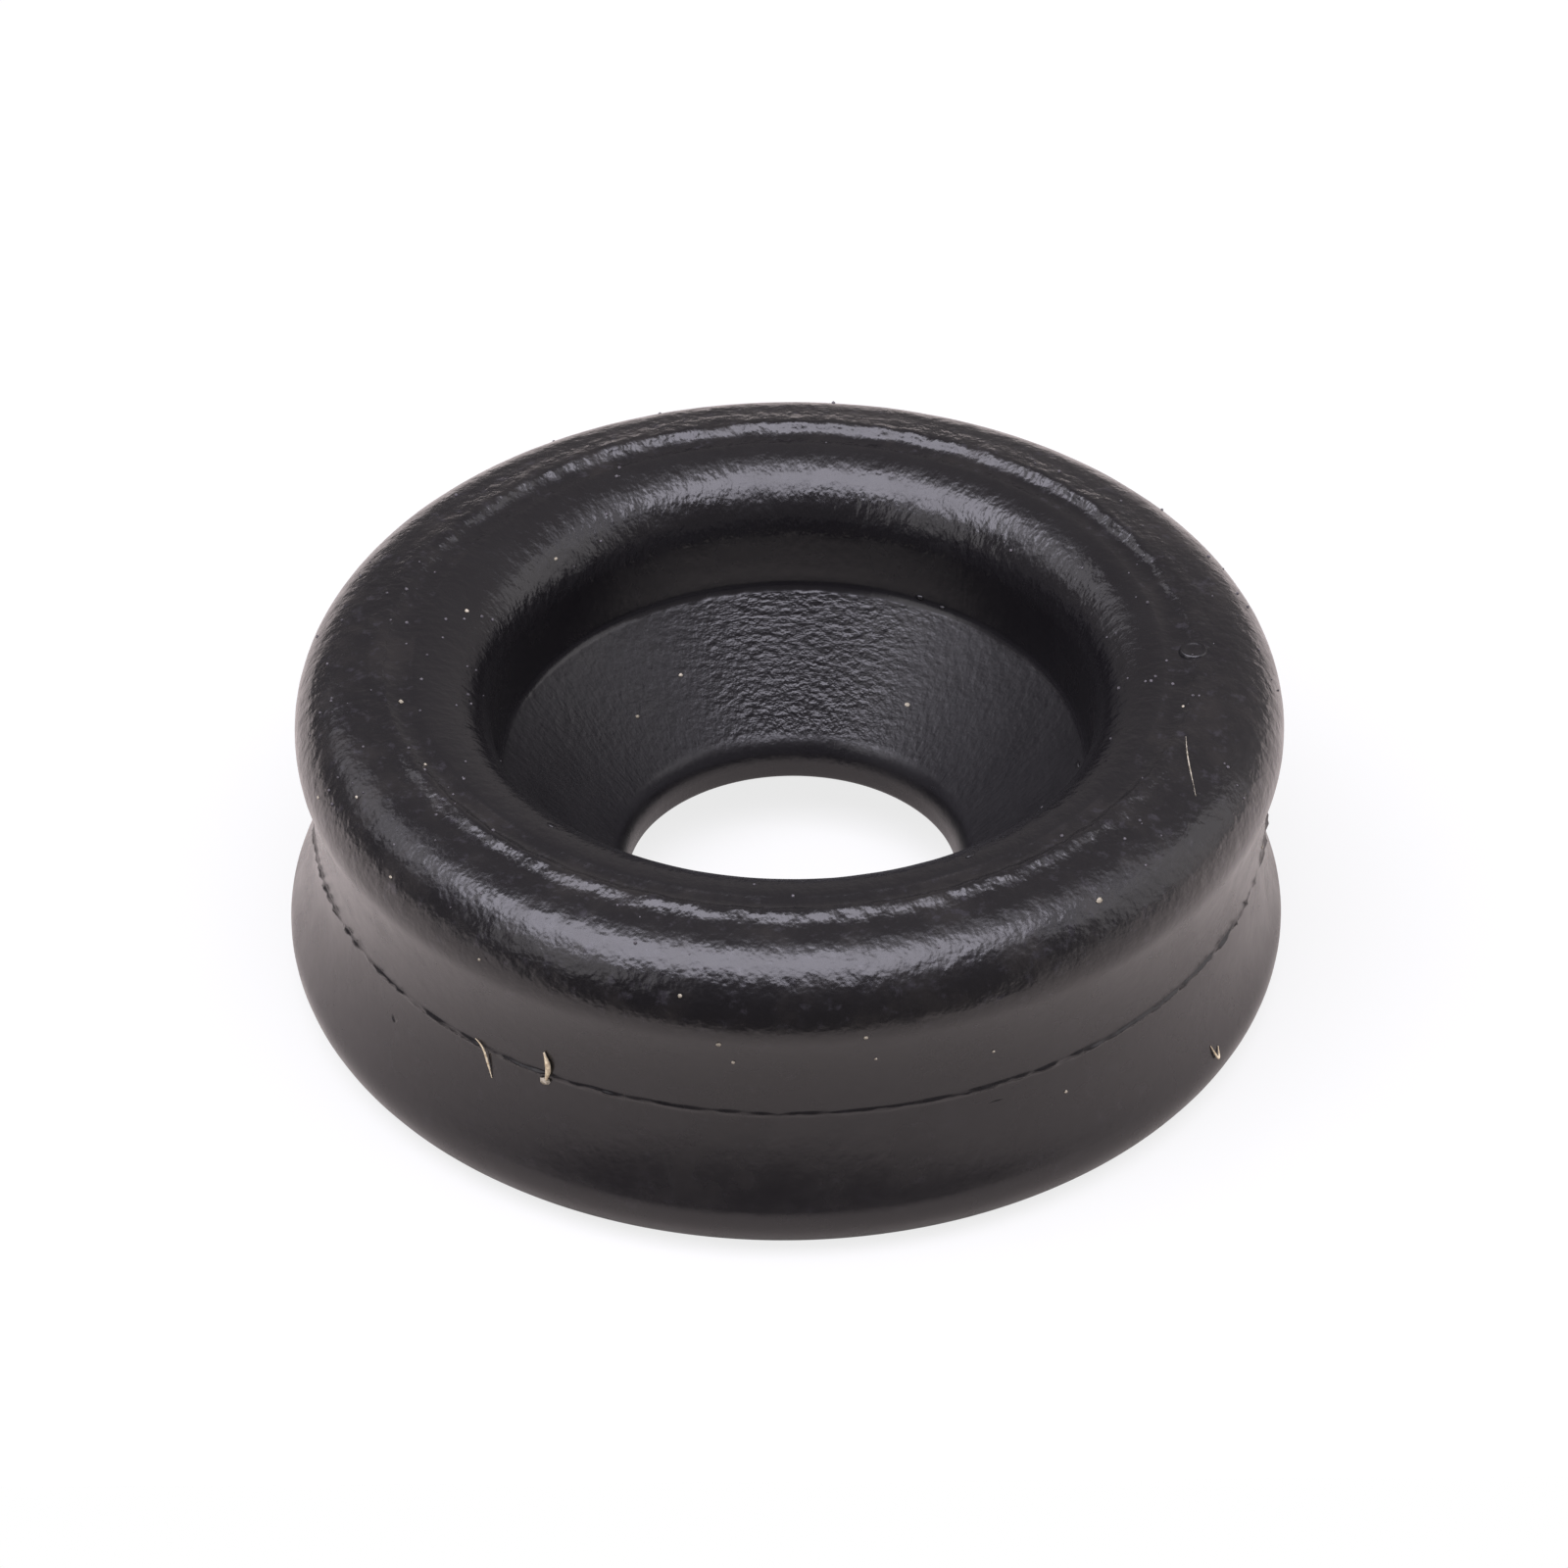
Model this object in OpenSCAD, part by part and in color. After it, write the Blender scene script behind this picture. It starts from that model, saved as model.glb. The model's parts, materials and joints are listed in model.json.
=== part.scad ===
// Rubber packing seal: a moulded ring with two round lips, a waist between them, a low rib
// round its crown, and a funnel throat that ends in a short cylindrical sealing land.
// The seal stands on its foot. The origin is at the centre of the foot and +Z is the bore's axis.

/* [Outline] */
// Height from the foot to the crown
seal_h = 7; // [6.2:0.1:9]
// Diameter over the upper bead
bead_d = 20; // [17:0.1:26]
// How far the lower lip stands out past the bead, on the radius
lip_over = 0.2; // [0:0.05:0.8]
// How deep the waist lies inside the bead, on the radius
waist_depth = 0.3; // [0.1:0.05:0.9]
// Radius of the bead's outer round
bead_r = 1.4; // [0.8:0.05:1.8]
// Radius of the lower lip's round into the foot
lip_r = 0.85; // [0.5:0.05:1.2]

/* [Crown rib] */
// Height of the low rib that runs round the middle of the crown
rib_h = 0.08; // [0.04:0.01:0.15]
// Radius of the rib's round back
rib_r = 0.6; // [0.3:0.05:0.8]

/* [Throat] */
// Width of the rim, from the bead's edge to the corner of throat and crown
rim_w = 3.8; // [3.3:0.05:5]
// Depth of the throat, from the crown to the seat cone
throat_h = 2.35; // [1.8:0.05:3.4]
// Draft of the throat's wall, in degrees
throat_draft = 4; // [1:0.5:8]
// Radius of the bead's inner shoulder
shoulder_r = 1.45; // [0.8:0.05:1.8]
// Radius of the fillet between the throat's wall and the seat cone
crease_r = 0.4; // [0.2:0.05:0.8]
// Included angle of the seat cone, in degrees
seat_angle = 90; // [75:1:120]
// Radius of the round between the seat cone and the land
seat_r = 0.4; // [0.15:0.05:0.6]

/* [Bore] */
// Diameter of the sealing land
bore_d = 6.8; // [5.4:0.1:9]
// Height of the land, from corner to corner
land_h = 0.6; // [0.5:0.05:1.4]
// Radius of the land's lower edge
land_edge_r = 0.12; // [0.05:0.01:0.2]

/* [Foot] */
// Width of the foot, from the lip's edge to the recess
foot_w = 4.4; // [3:0.05:5.2]
// Radius of the foot's inner edge
foot_edge_r = 0.4; // [0.1:0.05:1]

/* [Moulding marks] */
// How far the mould's parting line lies below the waist's narrowest point
parting_drop = 0.2; // [0:0.05:0.5]
// How far the parting flash stands out of the waist
flash_h = 0.05; // [0.02:0.01:0.15]
// Thickness of the parting flash at its root
flash_t = 0.09; // [0.04:0.01:0.2]
// Diameter of the gate pip on the crown's rib
gate_d = 0.6; // [0.3:0.05:0.9]
// How far the gate pip stands above the rib
gate_h = 0.03; // [0.02:0.01:0.1]
// Direction of the gate pip around the axis, in degrees
gate_dir = 2; // [0:1:359]

/* [Hidden] */
$fn = 96;
rubber_black = [0.1, 0.1, 0.105];
// How far marks are sunk into the body so that they join it
root_depth = 0.1;
// How far the cavity runs past the foot and the crown
cut_over = 1;

// Centres of the two outer rounds
bead_c = [bead_d / 2 - bead_r, seal_h - bead_r];
lip_c = [bead_d / 2 + lip_over - lip_r, lip_r];

// The waist is one arc, tangent to both outer rounds. Its radius follows from how deep it
// lies inside each of them and from the height between their centres.
lip_depth = waist_depth + lip_over;
waist_r = tangent_arc(
    lip_depth, 2 * lip_r - lip_depth, waist_depth, 2 * bead_r - waist_depth, bead_c.y - lip_c.y
);
waist_z = lip_c.y + sqrt(lip_depth * (2 * waist_r + 2 * lip_r - lip_depth));
waist_c = [bead_d / 2 - waist_depth + waist_r, waist_z];
parting_z = waist_z - parting_drop;

// Corners of the cavity before they are rounded, from the crown down to the foot
crown_corner = [bead_d / 2 - rim_w, seal_h];
crease_corner = crown_corner - throat_h * [tan(throat_draft), 1];
seat_corner = [bore_d / 2, crease_corner.y - (crease_corner.x - bore_d / 2) / tan(seat_angle / 2)];
land_corner = seat_corner - [0, land_h];
foot_corner = [bead_d / 2 + lip_over - foot_w, 0];

// Each round is listed as the point where it starts, its centre and the point where it ends
shoulder = round_at(crown_corner, [bead_c.x, seal_h], crease_corner, shoulder_r);
crease = round_at(crease_corner, crown_corner, seat_corner, crease_r);
seat_end = round_at(seat_corner, crease_corner, land_corner, seat_r);
land_end = round_at(land_corner, seat_corner, foot_corner, land_edge_r);
foot_end = round_at(foot_corner, land_corner, [lip_c.x, 0], foot_edge_r);

// The rib stands on the middle of the crown's flat, between the shoulder and the bead
rib_c = [(shoulder[0].x + bead_c.x) / 2, seal_h + rib_h - rib_r];

// Radius of an arc tangent to two rounds. d1 and d2 are the arc's depths inside the rounds,
// s1 and s2 the rest of their diameters, and h the height between their centres.
function tangent_arc(d1, s1, d2, s2, h) =
    let (
        m = d1 - d2,
        n = d1 * s1 - d2 * s2 - h * h,
        b = 2 * m * n - 4 * h * h * d2,
        c = n * n - 4 * h * h * d2 * s2
    )
    c / (sqrt(b * b - 4 * m * m * c) - b);

function unit(v) = v / norm(v);

// Start, centre and end of a round of radius r at corner p, between its neighbours a and b
function round_at(p, a, b, r) =
    let (
        to_a = unit(a - p),
        to_b = unit(b - p),
        half = acos(to_a * to_b) / 2
    )
    [p + to_a * r / tan(half), p + unit(to_a + to_b) * r / sin(half), p + to_b * r / tan(half)];

// Radius of the waist's surface at height z
function waist_at(z) = waist_c.x - sqrt(waist_r * waist_r - pow(z - waist_c.y, 2));

module disc(centre, r) {
    translate(centre) circle(r = r);
}

// Outer half section: two round lips joined by the waist's arc, and the rib on the crown
module outline_section() {
    difference() {
        polygon([
            [0, 0],
            [lip_c.x, 0],
            lip_c,
            waist_c,
            bead_c,
            [bead_c.x, seal_h],
            [0, seal_h],
        ]);
        disc(waist_c, waist_r);
    }
    disc(lip_c, lip_r);
    disc(bead_c, bead_r);
    disc(rib_c, rib_r);
}

// Half section of the space inside: throat, seat cone, land and the recess below it
module cavity_section() {
    difference() {
        union() {
            polygon(concat(
                [[0, seal_h + cut_over], [shoulder[0].x, seal_h + cut_over]],
                shoulder,
                crease,
                seat_end,
                land_end,
                foot_end,
                [[foot_end[2].x, -cut_over], [0, -cut_over]]
            ));
            disc(crease[1], crease_r);
        }
        disc(shoulder[1], shoulder_r);
        disc(seat_end[1], seat_r);
        disc(land_end[1], land_edge_r);
        disc(foot_end[1], foot_edge_r);
    }
}

// Half section of the thin flash that the mould's halves leave round the waist
module flash_section() {
    polygon([
        [waist_at(parting_z) - root_depth, parting_z - flash_t / 2],
        [waist_at(parting_z), parting_z - flash_t / 2],
        [waist_at(parting_z) + flash_h, parting_z],
        [waist_at(parting_z), parting_z + flash_t / 2],
        [waist_at(parting_z) - root_depth, parting_z + flash_t / 2],
    ]);
}

// Low pip left by the mould's gate, on the rib's crest
module gate_pip() {
    rotate([0, 0, gate_dir])
        translate([rib_c.x, 0, seal_h - root_depth])
            cylinder(d = gate_d, h = root_depth + rib_h + gate_h);
}

module packing_seal() {
    color(rubber_black) {
        rotate_extrude() {
            difference() {
                outline_section();
                cavity_section();
            }
            flash_section();
        }
        gate_pip();
    }
}

packing_seal();
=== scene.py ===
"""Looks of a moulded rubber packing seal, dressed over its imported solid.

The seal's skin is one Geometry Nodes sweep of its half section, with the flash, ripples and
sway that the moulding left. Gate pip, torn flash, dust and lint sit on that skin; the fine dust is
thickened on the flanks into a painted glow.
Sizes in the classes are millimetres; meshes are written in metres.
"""

import json
import logging
import math
import random
from collections.abc import Callable
from dataclasses import dataclass, fields
from enum import Enum

import bmesh
import bpy
from mathutils import Matrix, Vector
from mathutils.bvhtree import BVHTree

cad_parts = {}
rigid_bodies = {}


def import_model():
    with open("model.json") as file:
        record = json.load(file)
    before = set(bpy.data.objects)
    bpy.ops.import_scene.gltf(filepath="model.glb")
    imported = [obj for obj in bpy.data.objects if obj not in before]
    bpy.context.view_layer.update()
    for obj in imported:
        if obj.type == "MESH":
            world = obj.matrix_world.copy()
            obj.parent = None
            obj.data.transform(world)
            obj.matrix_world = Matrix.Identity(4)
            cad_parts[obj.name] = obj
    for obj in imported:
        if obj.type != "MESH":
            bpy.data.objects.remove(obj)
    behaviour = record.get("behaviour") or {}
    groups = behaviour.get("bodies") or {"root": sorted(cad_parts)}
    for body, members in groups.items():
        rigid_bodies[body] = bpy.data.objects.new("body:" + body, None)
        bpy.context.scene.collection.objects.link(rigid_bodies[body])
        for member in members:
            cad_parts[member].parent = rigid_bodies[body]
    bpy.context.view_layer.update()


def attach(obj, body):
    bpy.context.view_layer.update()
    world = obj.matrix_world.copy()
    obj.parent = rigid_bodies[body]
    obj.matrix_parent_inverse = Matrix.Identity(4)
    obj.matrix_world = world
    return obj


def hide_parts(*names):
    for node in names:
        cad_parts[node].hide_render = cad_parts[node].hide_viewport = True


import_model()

MM = 0.001
NODE = "packing_seal"
BODY = "root"

log = logging.getLogger("packing_seal")

Socket = bpy.types.NodeSocket
Point = tuple[float, float]
Place = tuple[float, float, float]
Colour = tuple[float, float, float, float]


class Zone(Enum):
    """Stretches of the seal's half section, with the spacing of their rows in millimetres."""

    FOOT = 0.8
    LIP = 0.13
    WAIST = 0.2
    PARTING = 0.022
    BEAD = 0.095
    CROWN = 0.042
    SHOULDER = 0.1
    WALL = 0.16
    CREASE = 0.05
    SEAT = 0.125
    SEAT_ROUND = 0.08
    LAND = 0.15
    LAND_EDGE = 0.04
    RECESS = 0.55


class Shading(Enum):
    """Names of the attributes that the seal's skin carries for its material."""

    ALONG = "along_mm"
    GRAIN = "grain"
    SEAT = "seat"
    HAZE = "haze"


@dataclass(frozen=True)
class Station:
    """One row of the skin: a point of the half section and the stretch that it lies on."""

    radius: float
    height: float
    zone: Zone


@dataclass(frozen=True)
class Arc:
    """A round of the half section.

    Args:
        centre: Its centre as (radius, height).
        size: Its radius.
    """

    centre: Point
    size: float

    def at(self, turn: float) -> Point:
        """Point on the round in the direction turn, in degrees from outward."""
        a = math.radians(turn)
        return self.centre[0] + self.size * math.cos(a), self.centre[1] + self.size * math.sin(a)

    def points(self, start: float, end: float, spacing: float) -> list[Point]:
        """Points from one direction to another, with the first and without the last."""
        steps = max(2, round(abs(math.radians(end - start)) * self.size / spacing))
        return [self.at(start + (end - start) * i / steps) for i in range(steps)]


def line_points(start: Point, end: Point, spacing: float) -> list[Point]:
    """Points along a straight stretch, with the first and without the last."""
    steps = max(1, round(math.dist(start, end) / spacing))
    return [tuple(a + (b - a) * i / steps for a, b in zip(start, end)) for i in range(steps)]


def bell(distance: float, width: float) -> float:
    """Smooth bump of height 1 that falls to about a third one width away."""
    return math.exp(-((distance / width) ** 2))


def smooth(value: float, low: float, high: float) -> float:
    """Smooth step from 0 at low to 1 at high."""
    t = min(1.0, max(0.0, (value - low) / (high - low)))
    return t * t * (3 - 2 * t)


@dataclass
class SealSection:
    """Half section of the seal, from the same driving sizes as its solid, in millimetres."""

    height: float = 7.0
    bead_edge: float = 10.0
    lip_over: float = 0.2
    waist_depth: float = 0.3
    bead_round: float = 1.4
    lip_round: float = 0.85
    rim_width: float = 3.8
    throat_depth: float = 2.6
    throat_draft: float = 4.0
    shoulder_round: float = 1.45
    crease_round: float = 0.4
    seat_slope: float = 48.0
    seat_round: float = 0.75
    bore_edge: float = 3.4
    land_height: float = 0.66
    land_edge_round: float = 0.12
    foot_width: float = 4.4
    foot_edge_round: float = 0.4
    parting_drop: float = 0.2
    parting_band: float = 0.16
    rib_crest: float = 8.14
    rib_height: float = 0.13
    rib_inner: float = 0.15
    rib_outer: float = 0.225
    valley_at: float = 7.76
    valley_depth: float = 0.03
    valley_width: float = 0.17
    rib_reach: float = 0.2
    shelf_out: float = 0.3
    shelf_reach: float = 0.22
    flash_reach: float = 0.08
    crease_reach: float = 0.07
    outside_from: float = 9.0
    crown_from: float = 7.0
    crown_above: float = 6.5
    throat_within: float = 6.1
    throat_above: float = 3.0

    def __post_init__(self) -> None:
        """Works out the rounds and lists the rows of the skin."""
        bead_size, lip_size = self.bead_round, self.lip_round
        lip_edge = self.bead_edge + self.lip_over
        self.bead = Arc((self.bead_edge - bead_size, self.height - bead_size), bead_size)
        self.lip = Arc((lip_edge - lip_size, lip_size), lip_size)
        self.waist = self._waist()
        self.parting = self.waist.centre[1] - self.parting_drop
        crown_corner = (self.bead_edge - self.rim_width, self.height)
        run = self.throat_depth * math.tan(math.radians(self.throat_draft))
        crease_corner = (crown_corner[0] - run, self.height - self.throat_depth)
        drop = (crease_corner[0] - self.bore_edge) / math.tan(math.radians(self.seat_slope))
        seat_corner = (self.bore_edge, crease_corner[1] - drop)
        land_corner = (self.bore_edge, seat_corner[1] - self.land_height)
        foot_corner = (lip_edge - self.foot_width, 0.0)
        self.corners = [
            ((self.bead.centre[0], self.height), crown_corner, self.shoulder_round),
            (crown_corner, crease_corner, self.crease_round),
            (crease_corner, seat_corner, self.seat_round),
            (seat_corner, land_corner, self.land_edge_round),
            (land_corner, foot_corner, self.foot_edge_round),
            (foot_corner, (self.lip.centre[0], 0.0), 0.0),
        ]
        self.stations: list[Station] = self._rows()

    def _waist(self) -> Arc:
        """The one arc that is tangent to both outer rounds.

        Returns:
            The waist's arc.
        """
        rise = self.bead.centre[1] - self.lip.centre[1]
        lip_depth = self.waist_depth + self.lip_over
        lip_rest = 2 * self.lip_round - lip_depth
        bead_rest = 2 * self.bead_round - self.waist_depth
        m = lip_depth - self.waist_depth
        n = lip_depth * lip_rest - self.waist_depth * bead_rest - rise * rise
        b = 2 * m * n - 4 * rise * rise * self.waist_depth
        c = n * n - 4 * rise * rise * self.waist_depth * bead_rest
        size = c / (math.sqrt(b * b - 4 * m * m * c) - b)
        up = math.sqrt(lip_depth * (2 * size + 2 * self.lip_round - lip_depth))
        centre = (self.bead_edge - self.waist_depth + size, self.lip.centre[1] + up)
        return Arc(centre, size)

    def _relief(self, radius: float) -> float:
        """Height of the crown's low rib, with the valley inside it, above the plain crown.

        Args:
            radius: Distance from the axis.

        Returns:
            The height, negative in the valley.
        """
        width = self.rib_inner if radius < self.rib_crest else self.rib_outer
        rib = self.rib_height * bell(radius - self.rib_crest, width)
        return rib - self.valley_depth * bell(radius - self.valley_at, self.valley_width)

    def _crown_points(self, start: Point, end: Point, spacing: float) -> list[Point]:
        """Points along the crown, with its rib and valley."""
        return [(r, z + self._relief(r)) for r, z in line_points(start, end, spacing)]

    def _rows(self) -> list[Station]:
        """Rows from the foot's inner edge out, over the crown and down through the bore.

        Returns:
            The rows, without a repeat of the first, because the section is closed.
        """
        rows: list[Station] = []

        def put(zone: Zone, path: Callable[..., list[Point]], *ends: object) -> None:
            """Adds a stretch of rows, as far apart as its zone says."""
            rows.extend(Station(r, z, zone) for r, z in path(*ends, zone.value))

        rounds = [self._fillet(i) for i in range(len(self.corners) - 1)]
        shoulder, crease, seat, land, foot = rounds
        lip_bottom = (self.lip.centre[0], 0.0)
        to_lip = self._direction(self.waist.centre, self.lip.centre)
        to_bead = self._direction(self.waist.centre, self.bead.centre)
        low, high = self._parting_turns()
        put(Zone.FOOT, line_points, foot[2], lip_bottom)
        put(Zone.LIP, self.lip.points, -90, to_lip - 180)
        put(Zone.WAIST, self.waist.points, to_lip, low)
        put(Zone.PARTING, self.waist.points, low, high)
        put(Zone.WAIST, self.waist.points, high, to_bead)
        put(Zone.BEAD, self.bead.points, to_bead - 180, 90)
        put(Zone.CROWN, self._crown_points, self.bead.at(90), shoulder[0])
        zones = [
            (shoulder, Zone.SHOULDER, Zone.WALL),
            (crease, Zone.CREASE, Zone.SEAT),
            (seat, Zone.SEAT_ROUND, Zone.LAND),
            (land, Zone.LAND_EDGE, Zone.RECESS),
            (foot, Zone.LAND_EDGE, Zone.FOOT),
        ]
        for i, (turn, bend, after) in enumerate(zones):
            put(bend, self._fillet_points, turn, self.corners[i][2])
            if i + 1 < len(rounds):
                put(after, line_points, turn[2], rounds[i + 1][0])
        return rows

    def _parting_turns(self) -> tuple[float, float]:
        """Directions on the waist's arc between which the parting line's rows lie close.

        Returns:
            The lower and the upper direction, in degrees.
        """
        heights = (self.parting - self.parting_band, self.parting + self.parting_band)
        sines = [(z - self.waist.centre[1]) / self.waist.size for z in heights]
        return tuple(180 - math.degrees(math.asin(sine)) for sine in sines)

    @staticmethod
    def _direction(start: Point, end: Point) -> float:
        """Direction from one point to another, from 0 to 360 degrees."""
        return math.degrees(math.atan2(end[1] - start[1], end[0] - start[0])) % 360

    def _fillet(self, index: int) -> tuple[Point, Point, Point]:
        """Start, centre and end of the round at one of the cavity's corners.

        Args:
            index: The corner's number, from the crown down.

        Returns:
            The three points.
        """
        before, corner, size = self.corners[index]
        p = Vector(corner)
        to_a = (Vector(before) - p).normalized()
        to_b = (Vector(self.corners[index + 1][1]) - p).normalized()
        half = to_a.angle(to_b) / 2
        reach = size / math.tan(half)
        centre = p + (to_a + to_b).normalized() * size / math.sin(half)
        return tuple(p + to_a * reach), tuple(centre), tuple(p + to_b * reach)

    def _fillet_points(
        self, turn: tuple[Point, Point, Point], size: float, spacing: float
    ) -> list[Point]:
        """Points along a corner's round, the short way about its centre.

        Args:
            turn: The round's start, centre and end.
            size: Its radius.
            spacing: Distance between two points.

        Returns:
            The points, without the last.
        """
        start, centre, end = turn
        first, last = self._direction(centre, start), self._direction(centre, end)
        swing = (last - first + 180) % 360 - 180
        return Arc(centre, size).points(first, first + swing, spacing)

    def loop_mesh(self) -> bpy.types.Mesh:
        """The half section as a closed loop of edges, with a weight for each thing done to it.

        Returns:
            A mesh in the XY plane, X the radius and -Y the height, in metres.
        """
        rows = self.stations
        count = len(rows)
        mesh = bpy.data.meshes.new("seal_section")
        points = [(s.radius * MM, -s.height * MM, 0.0) for s in rows]
        mesh.from_pydata(points, [(i, (i + 1) % count) for i in range(count)], [])
        along = 0.0
        values: dict[str, list[float]] = {}
        for i, row in enumerate(rows):
            before, after = rows[i - 1], rows[(i + 1) % count]
            tangent = Vector((after.radius - before.radius, after.height - before.height))
            tangent.normalize()
            if i:
                along += math.dist((before.radius, before.height), (row.radius, row.height))
            weights = self._weights(row)
            weights["out_r"], weights["out_z"] = tangent.y, -tangent.x
            weights[Shading.ALONG.value] = along
            for name, value in weights.items():
                values.setdefault(name, []).append(value)
        for name, column in values.items():
            mesh.attributes.new(name, "FLOAT", "POINT").data.foreach_set("value", column)
        return mesh

    def _weights(self, row: Station) -> dict[str, float]:
        """How strongly each of the tree's effects and the material's masks works on a row.

        Args:
            row: The row.

        Returns:
            Attribute name to its value.
        """
        z, r = row.height, row.radius
        moulded = row.zone in (Zone.LIP, Zone.WAIST, Zone.PARTING, Zone.BEAD, Zone.CROWN)
        outside = r > self.outside_from
        crown = r > self.crown_from and z > self.crown_above
        throat = r < self.throat_within and z > self.throat_above
        rib = bell(r - self.rib_crest, self.rib_reach)
        shelf = bell(r - self.rib_crest - self.shelf_out, self.shelf_reach)
        flash = max(0.0, 1 - abs(z - self.parting) / self.flash_reach)
        crease = bell(math.dist((r, z), self._fillet(1)[2]), self.crease_reach)
        rim = row.zone in (Zone.BEAD, Zone.CROWN)
        return {
            "parting": flash if moulded and outside else 0.0,
            "rib": rib if row.zone is Zone.CROWN else 0.0,
            "rib_fade": self.rib_height * rib if crown else 0.0,
            "shelf": shelf if crown else 0.0,
            "crease_flash": crease if throat else 0.0,
            "ripple": 1.0 if rim or row.zone is Zone.SHOULDER else 0.25,
            "throat": smooth(z, 0.6, 2.0) * (1 - smooth(r, 6.6, 7.6)),
            "lobe": (1 - smooth(z, 1.2, 3.0)) if outside else 0.0,
            Shading.GRAIN.value: self._grain(row),
            Shading.SEAT.value: {Zone.SEAT: 1.0, Zone.SEAT_ROUND: 0.3}.get(row.zone, 0.0),
            Shading.HAZE.value: 1.0 if rim else 0.35 if moulded else 0.0,
        }

    def _grain(self, row: Station) -> float:
        """Strength of the mould's fine grain: full on the rim, faint where the mould was smooth.

        Args:
            row: The row.

        Returns:
            The strength, where 1 is the shoulder's.
        """
        if row.zone is Zone.CROWN:
            return 1.0 + 0.7 * smooth(row.radius, 7.8, 8.1)
        if row.zone is Zone.BEAD:
            return 0.15 + 0.85 * smooth(row.height, 5.2, 6.1)
        return {Zone.SHOULDER: 1.0, Zone.SEAT: 0.6}.get(row.zone, 0.15)


class TreeWriter:
    """Adds nodes to a node tree and links them, for both meshes and materials."""

    def __init__(self, tree: bpy.types.NodeTree) -> None:
        """Starts writing in a tree."""
        self.tree = tree

    def add(self, kind: str, sockets: dict | None = None, **settings: object) -> bpy.types.Node:
        """Adds a node.

        Args:
            kind: The node's type name.
            sockets: Input name or number to a plain value or the output that feeds it.
            settings: The node's own settings.

        Returns:
            The new node.
        """
        node = self.tree.nodes.new(kind)
        for name, value in settings.items():
            setattr(node, name, value)
        for key, value in (sockets or {}).items():
            if isinstance(value, Socket):
                self.tree.links.new(value, node.inputs[key])
            else:
                node.inputs[key].default_value = value
        return node

    def math(self, operation: str, *terms: object) -> Socket:
        """Adds a Math node on numbers or outputs and gives its result."""
        node = self.add("ShaderNodeMath", dict(enumerate(terms)), operation=operation)
        return node.outputs[0]

    def times(self, first: object, *others: object) -> Socket:
        """Adds numbers or outputs multiplied, from the left."""
        for other in others:
            first = self.math("MULTIPLY", first, other)
        return first

    def plus(self, first: object, *others: object) -> Socket:
        """Adds a sum of numbers or outputs, from the left."""
        for other in others:
            first = self.math("ADD", first, other)
        return first

    def minus(self, first: object, second: object) -> Socket:
        """Adds a difference of numbers or outputs."""
        return self.math("SUBTRACT", first, second)

    def vector(self, operation: str, *terms: object) -> Socket:
        """Adds a Vector Math node and gives its result, a number for LENGTH and DOT_PRODUCT."""
        node = self.add("ShaderNodeVectorMath", dict(enumerate(terms)), operation=operation)
        return node.outputs[1 if operation in ("LENGTH", "DOT_PRODUCT") else 0]

    def scale(self, vector: Socket, factor: object) -> Socket:
        """Adds a vector times a number or an output."""
        node = self.add("ShaderNodeVectorMath", {0: vector, "Scale": factor}, operation="SCALE")
        return node.outputs[0]

    def level(self, place: Socket) -> Socket:
        """Adds the level direction in which a place lies from the axis."""
        return self.vector("NORMALIZE", self.vector("MULTIPLY", place, (1.0, 1.0, 0.0)))

    def mix(self, share: Socket, first: object, second: object) -> Socket:
        """Adds a mix of two colours."""
        sockets = {"Factor": share, "A": first, "B": second}
        return self.add("ShaderNodeMix", sockets, data_type="RGBA").outputs["Result"]

    def ramp(self, value: Socket, low: float, high: float, *to: float) -> Socket:
        """Adds a smooth step of a value between two marks, to 0 and 1 unless other ends are given.

        Args:
            value: The value.
            low: Where the step starts.
            high: Where it ends.
            to: What it starts and ends at.

        Returns:
            The step's output.
        """
        start, end = to or (0.0, 1.0)
        node = self.add(
            "ShaderNodeMapRange",
            {0: value, 1: low, 2: high, 3: start, 4: end},
            interpolation_type="SMOOTHSTEP",
        )
        return node.outputs[0]

    def noise(self, at: Socket, scale: float, detail: float = 1.0, rough: float = 0.5) -> Socket:
        """Adds a noise of a position, from about 0 to 1."""
        sockets = {"Vector": at, "Scale": scale, "Detail": detail, "Roughness": rough}
        return self.add("ShaderNodeTexNoise", sockets).outputs[0]

    def combine(self, x: object, y: object, z: object) -> Socket:
        """Adds a vector of three numbers or outputs."""
        return self.add("ShaderNodeCombineXYZ", {0: x, 1: y, 2: z}).outputs[0]

    def split(self, vector: Socket) -> tuple[Socket, Socket, Socket]:
        """Adds a Separate XYZ node and gives its three outputs."""
        outputs = self.add("ShaderNodeSeparateXYZ", {0: vector}).outputs
        return outputs[0], outputs[1], outputs[2]


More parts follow.
